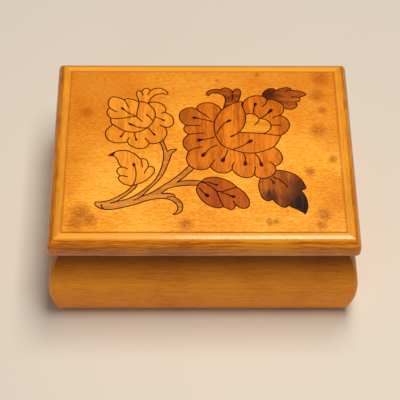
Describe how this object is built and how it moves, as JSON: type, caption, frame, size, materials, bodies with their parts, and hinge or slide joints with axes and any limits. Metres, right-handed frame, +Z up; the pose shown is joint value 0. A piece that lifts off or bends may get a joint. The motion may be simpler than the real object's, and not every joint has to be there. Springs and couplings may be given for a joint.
{
  "type": "wind-up music box",
  "caption": "Bombe wooden musical jewel box: hinged lid with rose marquetry, velvet-lined well, and a key-wound pinned-cylinder movement under a clear cover.",
  "frame": {"origin": "centre of the closed box's bounding box in plan, at table height under the felt pads", "axes": "+X to the right along the length as seen from the front, +Y towards the hinges, +Z up"},
  "size_m": [0.144, 0.109, 0.0635],
  "materials": {
    "case_veneer": "glossy golden veneer, fine straight grain along each side",
    "secondary_wood": "plain unfinished light wood",
    "moulding_wood": "glossy orange-brown edge moulding, streaked lengthwise",
    "ground_veneer": "high gloss honey burl veneer",
    "inlay_stem": "gloss tan veneer",
    "inlay_pale": "gloss honey veneer",
    "inlay_orange": "gloss orange veneer, shaded darker to the left",
    "inlay_heart": "gloss pale gold veneer",
    "inlay_brown": "gloss brown veneer, sand-shaded",
    "inlay_leaf": "gloss red-brown veneer",
    "inlay_black": "gloss near-black scorched veneer",
    "kerf_filler": "dark brown filler in the saw lines",
    "lining_velvet": "deep red velvet on card",
    "pad_felt": "dark green felt",
    "clear_cover": "clear acrylic sheet with polished edges",
    "hinge_brass": "polished brass",
    "plate_gold": "satin gilt casting",
    "gear_brass": "cut brass",
    "steel": "ground steel",
    "spring_steel": "blued spring steel",
    "screw_steel": "bright nickel-plated screws"
  },
  "bodies": {
    "case": {"front_panel": "case_veneer", "back_panel": "case_veneer", "left_panel": "case_veneer", "right_panel": "case_veneer", "bottom_board": "secondary_wood", "corner_blocks": "secondary_wood", "foot_pads": "pad_felt", "partition": "secondary_wood", "pane_ledges": "secondary_wood", "cover_pane": "clear_cover", "well_lining": "lining_velvet", "case_hinge_leaves": "hinge_brass", "hinge_pins": "hinge_brass", "case_hinge_screws": "hinge_brass", "bedplate": "plate_gold", "comb": "steel", "comb_screws": "screw_steel", "barrel_bridge": "plate_gold", "bridge_screws": "screw_steel", "governor_frame": "plate_gold", "small_screws": "screw_steel", "clutch_spring": "steel", "movement_screws": "screw_steel", "stop_bracket": "plate_gold", "plunger_spring": "steel"},
    "lid": {"lid_core": "secondary_wood", "lid_ground_veneer": "ground_veneer", "lid_front_strip": "moulding_wood", "lid_back_strip": "moulding_wood", "lid_left_strip": "moulding_wood", "lid_right_strip": "moulding_wood", "lid_lining": "lining_velvet", "lid_hinge_leaves": "hinge_brass", "lid_hinge_screws": "hinge_brass", "inlay_stems": "inlay_stem", "inlay_left_leaf": "inlay_pale", "inlay_bud_leaf": "inlay_leaf", "inlay_dark_leaf": "inlay_black", "inlay_small_sepal": "inlay_pale", "inlay_dark_sepals": "inlay_brown", "inlay_small_rose": "inlay_pale", "inlay_rose_petals": "inlay_orange", "inlay_rose_bud": "inlay_orange", "inlay_rose_heart": "inlay_heart", "inlay_kerf_fill": "kerf_filler"},
    "cylinder": {"cylinder": "gear_brass", "cylinder_pins": "steel", "cylinder_arbor": "steel", "cylinder_wheel": "gear_brass"},
    "barrel": {"barrel": "gear_brass", "barrel_cover": "plate_gold", "mainspring": "spring_steel"},
    "winder": {"winding_arbor": "steel", "winding_key": "hinge_brass"},
    "governor_wheel": {"governor_wheel": "gear_brass"},
    "fan": {"worm_shaft": "steel", "fan": "plate_gold"},
    "plunger": {"stop_plunger": "hinge_brass", "brake_pad": "pad_felt"}
  },
  "joints": [
    {"name": "lid_hinge", "type": "hinge", "parent": "case", "child": "lid", "pos_m": [0, 0.0487, 0.0524], "axis": [-1, 0, 0], "range_deg": [0, 100]},
    {"name": "cylinder_turn", "type": "hinge", "parent": "case", "child": "cylinder", "pos_m": [-0.0285, -0.0013, 0.0315], "axis": [0, 1, 0], "continuous": true},
    {"name": "barrel_turn", "type": "hinge", "parent": "case", "child": "barrel", "pos_m": [-0.0285, 0.0208, 0.024], "axis": [0, 0, 1], "continuous": true},
    {"name": "governor_turn", "type": "hinge", "parent": "case", "child": "governor_wheel", "pos_m": [-0.02113, -0.0158, 0.02634], "axis": [0, 1, 0], "continuous": true},
    {"name": "fan_spin", "type": "hinge", "parent": "case", "child": "fan", "pos_m": [-0.01513, -0.0158, 0.03], "axis": [0, 0, 1], "continuous": true},
    {"name": "key_wind", "type": "hinge", "parent": "case", "child": "winder", "pos_m": [-0.0285, 0.0208, 0.01], "axis": [0, 0, -1], "range_deg": [0, 1260]},
    {"name": "plunger_lift", "type": "slide", "parent": "case", "child": "plunger", "axis": [0, 0, 1], "range_m": [0, 0.0025], "deforming": ["plunger_spring"]}
  ],
  "couplings": [
    {"joint": "barrel_turn", "follows": "cylinder_turn", "ratio": -0.33333},
    {"joint": "governor_turn", "follows": "cylinder_turn", "ratio": -4},
    {"joint": "fan_spin", "follows": "cylinder_turn", "ratio": -96},
    {"joint": "plunger_lift", "follows": "lid_hinge", "m_per_rad": 0.00143}
  ]
}
